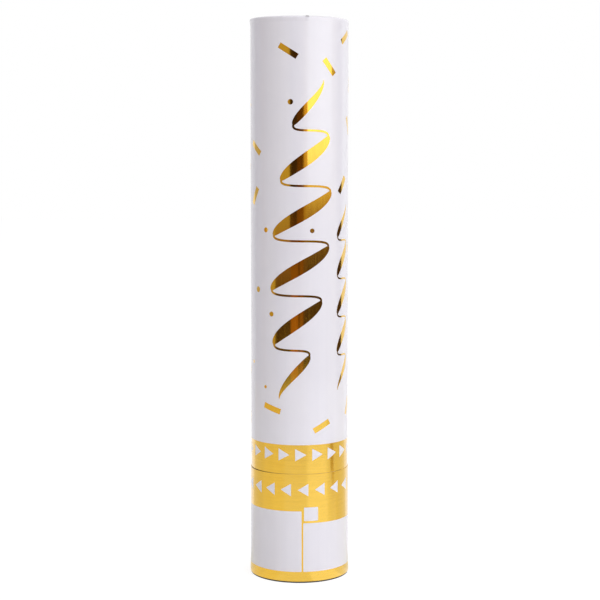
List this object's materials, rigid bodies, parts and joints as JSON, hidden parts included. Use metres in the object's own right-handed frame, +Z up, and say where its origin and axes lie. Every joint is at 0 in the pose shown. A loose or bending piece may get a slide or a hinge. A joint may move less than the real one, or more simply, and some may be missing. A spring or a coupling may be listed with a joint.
{
  "type": "confetti popper",
  "caption": "Tall paper-covered tube popper; twisting the short gold grip at its foot lifts an inner plug, and bottled air drives stacked paper slips and the lid out of the muzzle.",
  "frame": {"origin": "middle of the base, on the table", "axes": "+Z up the barrel to the muzzle, -Y towards the viewer of the picture, +X to the viewer's right"},
  "size_m": [0.0516, 0.0514, 0.2857],
  "materials": {
    "white_paper": "gloss laminated print",
    "gold_paper": "mirror foil print",
    "tube_board": "rolled grey board",
    "black_plastic": "moulded",
    "bottle_metal": "drawn, satin",
    "seal_rubber": "matte",
    "seat_plastic": "moulded, natural",
    "latch_plastic": "moulded",
    "plug_plastic": "moulded",
    "cage_plastic": "moulded",
    "wad_board": "pressed board",
    "gold_slip": "metallic film slips",
    "white_slip": "tissue slips",
    "cover_white": "satin"
  },
  "bodies": {
    "barrel": {"barrel_tube": "tube_board", "barrel_wrap": "white_paper", "guide_sleeve": "tube_board", "release_cage": "cage_plastic", "gas_diffuser": "cage_plastic"},
    "grip": {"grip_tube": "tube_board", "grip_wrap": "gold_paper", "base_cap": "black_plastic", "air_bottle": "bottle_metal", "fill_bung": "seal_rubber", "neck_gasket": "seal_rubber", "valve_seat": "seat_plastic", "latch_collar": "latch_plastic"},
    "plug": {"release_plug": "plug_plastic", "plug_ring_lower": "seal_rubber", "plug_ring_upper": "seal_rubber"},
    "payload": {"pusher_wad": "wad_board", "gold_slips": "gold_slip", "white_slips": "white_slip"},
    "cover": {"muzzle_cover": "cover_white"}
  },
  "joints": [
    {"name": "grip_twist", "type": "hinge", "parent": "barrel", "child": "grip", "pos_m": [0, 0, 0], "axis": [0, 0, -1], "range_deg": [0, 75]},
    {"name": "plug_lift", "type": "slide", "parent": "barrel", "child": "plug", "axis": [0, 0, 1], "range_m": [0, 0.004]},
    {"name": "payload_slide", "type": "slide", "parent": "barrel", "child": "payload", "axis": [0, 0, 1], "range_m": [0, 0.13]},
    {"name": "cover_lift", "type": "slide", "parent": "barrel", "child": "cover", "axis": [0, 0, 1], "range_m": [0, 0.13]}
  ],
  "couplings": [
    {"joint": "plug_lift", "follows": "grip_twist", "m_per_rad": 0.003055},
    {"joint": "cover_lift", "follows": "payload_slide", "ratio": 1}
  ]
}
